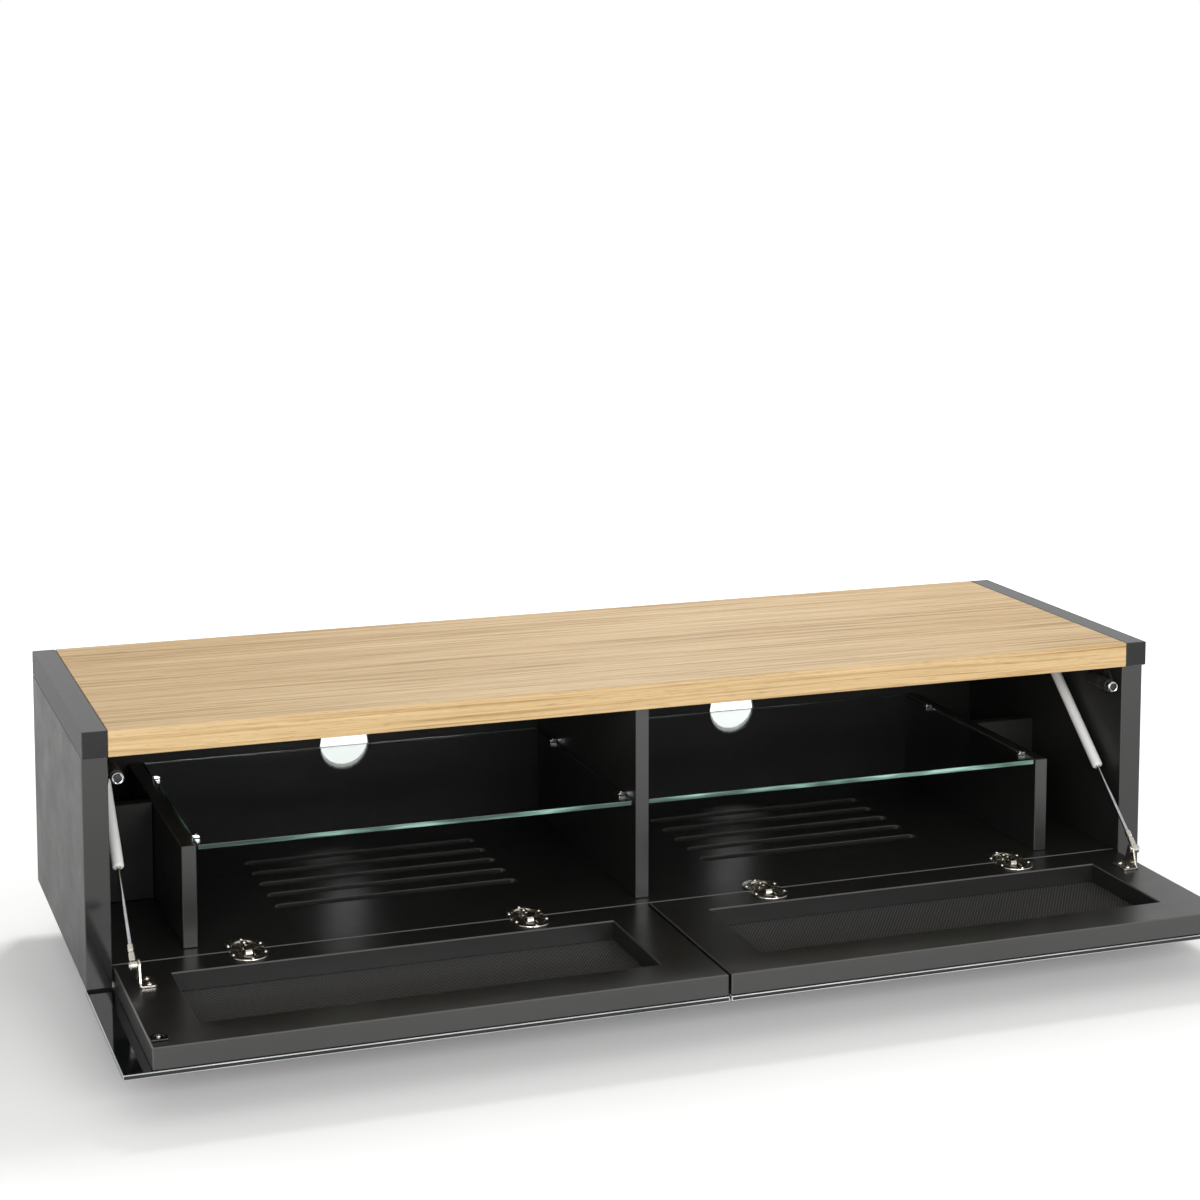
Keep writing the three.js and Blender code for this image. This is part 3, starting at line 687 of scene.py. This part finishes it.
def door_half(name, side):
    """The open cup let into the door, with the pin across it and a spring at each side."""
    low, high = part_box(f"hinge_cup_{name}")
    pin = Vector(((low.x + high.x) / 2, PIN.y, PIN.z))
    middle = Vector((pin.x, low.y + FLANGE * MM, FACE))
    cup = trimmed_flange(f"cup_{name}", CUP, middle, high.y, -1)
    axle = turn("axle", [(0, -AXLE_HALF), (1.3, -AXLE_HALF), (1.3, AXLE_HALF), (0, AXLE_HALF)],
                pin, X, NICKEL, sides=16)
    cheeks = []
    for way in (-1, 1):
        outline = [pin + Vector((way * CHEEK_FROM, a, b)) * MM for a, b in CHEEK]
        cheeks.append(plate("cheek", outline, X * (way * CHEEK_THICK * MM), NICKEL, 0.25))
    spring = turn("spring", [(1.9, -5.4), (2.6, -5.1), (2.6, -4.3), (1.9, -4.0)], pin, X, CHROME,
                  sides=20, ring=True)
    other_spring = put(spring, X * (SPRING_STEP * MM))
    cover = slotted_cover(middle, pin, high.y)
    made = weld(f"hinge_cup_{name}_made", [cup, cover, axle, *cheeks, spring, other_spring,
                                           *flange_screws(middle, -1)])
    mount(made, f"door_{side}", "satin_nickel", f"hinge_cup_{name}")
    return pin


def board_half(name, pin):
    """The dished flange on the bottom panel, with the bridging arm screwed into it."""
    low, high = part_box(f"hinge_board_{name}")
    middle = Vector((pin.x, high.y - FLANGE * MM, FACE))
    dish = trimmed_flange(f"dish_{name}", DISH, middle, FRONT + BOARD_HALF_FROM * MM, 1)
    outline = [pin + Vector((-ARM_HALF, a, b)) * MM for a, b in ARM]
    arm = plate("arm", outline, X * (2 * ARM_HALF * MM), NICKEL, 0.5)
    eye = turn("eye", bush(1.6, 3.0, ARM_HALF, 0.3), pin, X, NICKEL, sides=24, ring=True)
    post = turn("post", [(0, -0.8), (3.0, -0.8), (3.0, 0.9), (0, 0.9)], middle + Y * MM, Z, NICKEL)
    arm_top = pin.z + ARM_TOP * MM
    fixing = put(small_screw, Vector((pin.x, middle.y + MM, arm_top)))
    setting = put(small_screw, Vector((pin.x, pin.y + 15 * MM, arm_top)))
    made = weld(f"hinge_board_{name}_made",
                [dish, arm, eye, post, fixing, setting, *flange_screws(middle, 1)])
    mount(made, "cabinet", "satin_nickel", f"hinge_board_{name}")


for side, s in SIDES:
    for end in ("inner", "outer"):
        pin = door_half(f"{side}_{end}", side)
        board_half(f"{side}_{end}", pin)

# ---------------------------------------------------------------- gas struts

STRUT_FOOT_Y, STRUT_FOOT_Z = -48, 93
EYE_HALF = 3.6
ROD_FROM = 138
ROD_RADIUS = 2
ROD_SHORT = 22
PLAY = 0.3
PLATE_THICK = 2.7
TAB_THICK = 2
# half section of the tube, as radius and distance from the upper pivot; the rod's bore is inside
TUBE = [(0, 4), (3, 4), (3, 14.5), (3.6, 15.6), (5.2, 16.6), (6, 19), (6, 150.6), (5.7, 152),
        (4.9, 152.7), (3.6, 153), (2.6, 152.8), (2.4, 151.5), (2.4, 58), (0, 58)]
# half section of the rod's end fitting, counted back from the lower pivot
SOCKET = [(0, 23), (2.8, 23), (3.3, 22.2), (3.4, 16), (2.7, 15.2), (2.7, 13.6), (3.4, 12.8),
          (3.4, 6), (2.6, 4), (0, 3.6)]
# outlines of the wall plate round the stud, and of the door tab round the rod's eye
WALL_PLATE = [(-11, -11), (-9.5, -14.5), (-6, -16), (6, -16), (9.5, -14.5), (11, -11),
              (11, 11), (9.5, 14.5), (6, 16), (-6, 16), (-9.5, 14.5), (-11, 11)]
TAB = [(-14, -19.7), (14, -19.7), (14, -17.6), (11, -14.5), (6.4, 0.5), (4.9, 3.6), (2.2, 5.6),
       (0, 6), (-2.2, 5.6), (-4.9, 3.6), (-6.4, 0.5), (-11, -14.5), (-14, -17.6)]
# outline of the foot that lies on the door, counted inwards from the tab
BASE = [(0, -14), (15, -14), (17, -12), (17, 12), (15, 14), (0, 14)]


def strut(side, s, head, foot):
    """Tube and rod of one gas strut, from its stud on the side panel to its tab on the door."""
    length = (foot - head).length / MM
    along = (foot - head).normalized()
    tube = turn("tube", TUBE, head, along, SILVER, sides=40)
    eye = turn("tube_eye", bush(2.9, 6, EYE_HALF, 0.5), head, X, NICKEL, ring=True)
    mount(weld(f"strut_tube_{side}_made", [tube, eye]),
          f"strut_tube_{side}", "silver_paint", f"strut_tube_{side}")

    rod_end = length - ROD_SHORT
    rod = turn("rod", [(0, ROD_FROM), (ROD_RADIUS, ROD_FROM), (ROD_RADIUS, rod_end), (0, rod_end)],
               head, along, CHROME, sides=28)
    socket = turn("socket", [(radius, length - back) for radius, back in SOCKET],
                  head, along, NICKEL, sides=24)
    rod_eye = turn("rod_eye", bush(0, 5, EYE_HALF, 0.6), foot, X, NICKEL)
    rivet = turn("rivet", [(0, 0), (3.4, 0), (3.4, EYE_HALF + 0.5), (2.9, EYE_HALF + 1.2),
                           (0, EYE_HALF + 1.5)], foot, X * s, CHROME, sides=24)
    mount(weld(f"strut_rod_{side}_made", [rod, socket, rod_eye, rivet]),
          f"strut_rod_{side}", "chrome", f"strut_rod_{side}")


def upper_bracket(side, s, head):
    """A plate on the side panel with a headed stud through the tube's eye."""
    inward = X * -s
    root = Vector((s * (SIDE_FACE - PLAY * MM), head.y, head.z))
    outline = [root + Vector((0, a, b)) * MM for a, b in WALL_PLATE]
    backplate = plate("backplate", outline, inward * (PLATE_THICK * MM), NICKEL, 0.4)
    reach = abs(root.x - head.x) / MM
    near, far = reach - EYE_HALF, reach + EYE_HALF
    stud = turn("stud", [(0, 2), (4.5, 2), (4.5, near - 0.6), (4.1, near - 0.3), (2.4, near - 0.3),
                         (2.4, far + 0.4), (3.9, far + 0.4), (4.2, far + 0.8), (4.2, far + 1.6),
                         (3.2, far + 2.3), (0, far + 2.5)], root, inward, NICKEL)
    screws = [put(large_screw, root + inward * (PLATE_THICK * MM) + Z * (up * MM), inward)
              for up in (-10.5, 10.5)]
    mount(weld(f"strut_bracket_top_{side}_made", [backplate, stud, *screws]),
          "cabinet", "satin_nickel", f"strut_bracket_top_{side}")


def lower_bracket(side, s, foot):
    """An angle screwed to the door, its tab beside the rod's eye."""
    inward = X * -s
    root = foot + inward * ((EYE_HALF + PLAY) * MM)
    tab = plate("tab", [root + Vector((0, a, b)) * MM for a, b in TAB],
                inward * (TAB_THICK * MM), NICKEL, 0.35)
    base_z = FACE + PLAY * MM
    outline = [Vector((root.x - s * a * MM, root.y + b * MM, base_z)) for a, b in BASE]
    base = plate("base", outline, Z * (TAB_THICK * MM), NICKEL, 0.35)
    rivet = turn("tab_rivet", [(0, 1), (3.8, 1), (3.8, 2.6), (3.1, 3.3), (0, 3.6)],
                 root, inward, NICKEL, sides=24)
    screws = [put(large_screw, Vector((root.x - s * 10 * MM, root.y + ahead * MM,
                                       base_z + TAB_THICK * MM))) for ahead in (-8, 8)]
    mount(weld(f"strut_bracket_door_{side}_made", [tab, base, rivet, *screws]),
          f"door_{side}", "satin_nickel", f"strut_bracket_door_{side}")


for side, s in SIDES:
    head = Vector((s * STRUT_HEAD.x, STRUT_HEAD.y, STRUT_HEAD.z))
    foot = spot(head.x / MM, STRUT_FOOT_Y, STRUT_FOOT_Z)
    strut(side, s, head, foot)
    upper_bracket(side, s, head)
    lower_bracket(side, s, foot)

# ---------------------------------------------------------------- push latches and strike plates

WINGS_THICK = 3.3
WINGS_MIDDLE = 39
STRIKE_THICK = 1.8
# half sections, as radius and distance behind the front edge of the top
BARREL = [(0, 52), (3.8, 52), (3.8, 17.6), (4.3, 17), (6.0, 17), (6.8, 17.5), (7, 18.4), (7, 30),
          (6.6, 30.4), (6.6, 32), (7, 32.4), (7, 60), (5.6, 62), (0, 62)]
RING = [(0, 11.4), (4.2, 11.4), (4.4, 9.4), (5.2, 9.05), (6.1, 9.8), (6.4, 10.8), (6.4, 12.4),
        (6.0, 13), (3.3, 13), (3.3, 46), (0, 46)]
PAD = [(0, 10.1), (3.2, 10.2), (4.0, 10.7), (4.0, 12), (0, 12)]
# upper edge of the winged wall plate, mirrored to its lower edge
WING_EDGE = [(22, 0), (23.5, 2.6), (32.5, 13.4), (35, 15), (43, 15), (45.5, 13.4), (54.5, 2.6),
             (56, 0)]


def latch(side, s):
    """The housing on the side panel with its wings, and the sprung magnetic plunger in it."""
    low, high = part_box(f"latch_plunger_{side}")
    centre = Vector(((low.x + high.x) / 2, FRONT, (low.z + high.z) / 2))
    inward = X * -s
    wall = Vector((s * (SIDE_FACE - PLAY * MM), centre.y, centre.z))
    barrel = turn("barrel", BARREL, centre, Y, PLASTIC)
    edge = WING_EDGE + [(a, -b) for a, b in WING_EDGE[-2:0:-1]]
    wings = plate("wings", [wall + Vector((0, a, b)) * MM for a, b in edge],
                  inward * (WINGS_THICK * MM), PLASTIC, 0.6)
    face = wall + inward * (WINGS_THICK * MM) + Y * (WINGS_MIDDLE * MM)
    screws = [put(dark_screw, face + Z * (up * MM), inward) for up in (-11, 11)]
    mount(weld(f"latch_body_{side}_made", [barrel, wings, *screws]),
          "cabinet", "black_plastic", f"latch_body_{side}")

    ring = turn("ring", RING, centre, Y, CHROME)
    pad = turn("pad", PAD, centre, Y, PLASTIC, sides=24)
    mount(weld(f"latch_plunger_{side}_made", [ring, pad]),
          f"latch_plunger_{side}", "chrome", f"latch_plunger_{side}")


def strike_plate(side):
    """A small plate on the door for the magnet, round at one end, with a screw in its dimple."""
    low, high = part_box(f"strike_plate_{side}")
    middle = Vector(((low.x + high.x) / 2, (low.y + high.y) / 2, low.z))
    half = (high.x - low.x) / 2
    corner = half * 0.88
    steps = 14
    round_end = [(half * math.cos(math.pi * step / steps), half * math.sin(math.pi * step / steps))
                 for step in range(steps + 1)]
    outline = [(-corner, -half), (corner, -half), (half, -corner), *round_end, (-half, -corner)]
    strike = plate("strike", [middle + Vector((a, b, 0)) for a, b in outline],
                   Z * (STRIKE_THICK * MM), DARK_NICKEL, 0.4)
    dimple = turn("dimple", [(0, 1.0), (5.4, 1.0), (6.2, 2.4), (0, 2.4)], middle, Z, DARK_NICKEL)
    smooth(carve(strike, dimple))
    screw = put(small_screw, middle + Z * (1.4 * MM))
    mount(weld(f"strike_plate_{side}_made", [strike, screw]),
          f"door_{side}", "satin_nickel", f"strike_plate_{side}")


for side, s in SIDES:
    latch(side, s)
    strike_plate(side)

# ---------------------------------------------------------------- shelves and their clips

SLOT_HALF = 2.8
CLIP_WEB = 1.6
GRUB_OUT = 4.6


def shelf(side):
    """A pane of clear glass whose narrow faces show the green of its edge."""
    name = f"glass_shelf_{side}"
    pane = rough_block(f"{name}_made", *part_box(name), CLEAR, AQUA)
    edit(pane)
    choose(pane, lambda middle, normal: abs(normal.z) < 0.5)
    bpy.context.object.active_material_index = 1
    bpy.ops.object.material_slot_assign()
    clear()
    ease(pane, 0.6, 2, slot=1)
    mount(smooth(pane), "cabinet", "shelf_glass", name)


def shelf_clip(name, way):
    """A jaw round the pane's edge, open along x to one way, with a grub screw on top."""
    low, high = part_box(name)
    wall = low.x if way > 0 else high.x
    deep = (high.x - low.x) / MM
    middle = (low + high) / 2
    under, over = middle.z / MM - SLOT_HALF, middle.z / MM + SLOT_HALF
    jaw = (high.z - low.z) / MM / 2 - SLOT_HALF
    corners = [(0, under - jaw), (deep - 3, under - jaw), (deep - 1, under - jaw * 0.8),
               (deep, under - 1.2), (deep, under), (CLIP_WEB, under),
               (CLIP_WEB, over), (deep, over), (deep, over + 1.2),
               (deep - 1, over + jaw * 0.8), (deep - 3, over + jaw), (0, over + jaw)]
    outline = [Vector((wall + way * a * MM, low.y, b * MM)) for a, b in corners]
    jaws = plate("jaws", outline, Y * (high.y - low.y), CHROME, 0.5)
    grub = put(grub_screw, Vector((wall + way * GRUB_OUT * MM, middle.y, high.z - 0.2 * MM)))
    mount(weld(f"{name}_made", [jaws, grub]), "cabinet", "chrome", name)


for side, s in SIDES:
    shelf(side)
    for along in ("front", "back"):
        for end, way in (("inner", s), ("outer", -s)):
            shelf_clip(f"shelf_clip_{side}_{along}_{end}", way)

# ---------------------------------------------------------------- door glass

for side, s in SIDES:
    name = f"door_glass_{side}"
    pane = rough_block(f"{name}_made", *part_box(name), SMOKED, ARRIS)
    ease(pane, 0.9, 2, slot=1)
    mount(smooth(pane), f"door_{side}", "door_glass", name)

# ---------------------------------------------------------------- feet

FOOT = [(0, 0), (20, 0), (23, 0.8), (24, 2.4), (24, 9), (22.6, 11.6), (18.4, 13.6), (17, 16),
        (17, 47), (18.6, 49), (26.5, 50.6), (28, 51.6), (28, 54.7), (0, 54.7)]
foot_pattern = turn("foot_pattern", FOOT, Vector(), Z, PLASTIC, sides=40, easing=0.3)
for name in [n for n in nodes if n.startswith("foot_")]:
    low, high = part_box(name)
    glide = put(foot_pattern, Vector(((low.x + high.x) / 2, (low.y + high.y) / 2, low.z)))
    glide.name = f"{name}_made"
    mount(glide, "cabinet", "black_plastic", name)

for pattern in (small_screw, large_screw, grub_screw, dark_screw, foot_pattern):
    bpy.data.objects.remove(pattern)

# ---------------------------------------------------------------- studio

clear()
bpy.ops.mesh.primitive_plane_add(size=60)
floor = bpy.context.object
floor.name = "studio_floor"
floor.data.materials.append(studio_floor())
floor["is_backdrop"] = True


def softbox(name, place, width, height, power, towards=(0, 0, 0.15)):
    """A rectangular studio light of this size and power, aimed at the cabinet."""
    light = bpy.data.lights.new(name, "AREA")
    light.shape = "RECTANGLE"
    light.size, light.size_y, light.energy = width, height, power
    lamp = bpy.data.objects.new(name, light)
    bpy.context.scene.collection.objects.link(lamp)
    lamp.location = place
    lamp.rotation_euler = (Vector(towards) - Vector(place)).to_track_quat("-Z", "Y").to_euler()


softbox("key_softbox", (0.9, 2.1, 2.6), 1.0, 1.0, 62)
softbox("left_fill_softbox", (-1.9, -3.2, 1.4), 2.2, 1.4, 42)
softbox("front_fill_softbox", (0.6, -3.4, 1.35), 1.8, 1.2, 52)

# the white room: dimmer as light on the pieces than as what they mirror, and plain white to look at
ROOM_LIGHT, ROOM_MIRRORED, ROOM_SEEN = 0.48, 0.75, 1.0
world = bpy.data.worlds.new("studio_room")
bpy.context.scene.world = world
world.use_nodes = True
air = world.node_tree
rays = add(air, "LightPath").outputs
mirrored = spread(air, rays["Is Glossy Ray"], 0, 1, ROOM_LIGHT, ROOM_MIRRORED)
seen = add(air, "Mix", {"Factor": rays["Is Camera Ray"], 2: mirrored, 3: ROOM_SEEN},
           data_type="FLOAT").outputs[0]
air.links.new(seen, air.nodes["Background"].inputs["Strength"])
air.nodes["Background"].inputs["Color"].default_value = (1, 1, 1, 1)

# a long lens, a little above the top and to the left, looking down and to the right
LENS_MM, SENSOR_MM, SHIFT = 76.522, 36, -0.2
CAMERA_PLACE = (-0.9422, -2.5529, 0.9623)
LOOKS_DOWN, LOOKS_RIGHT = 6.472, 19.634
camera_data = bpy.data.cameras.new("camera")
camera_data.lens = LENS_MM
camera_data.sensor_width = SENSOR_MM
camera_data.shift_y = SHIFT
camera = bpy.data.objects.new("camera", camera_data)
bpy.context.scene.collection.objects.link(camera)
camera.location = CAMERA_PLACE
camera.rotation_euler = (math.radians(90 - LOOKS_DOWN), 0, math.radians(-LOOKS_RIGHT))
bpy.context.scene.camera = camera
bpy.context.scene.view_settings.view_transform = "Standard"

low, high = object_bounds()
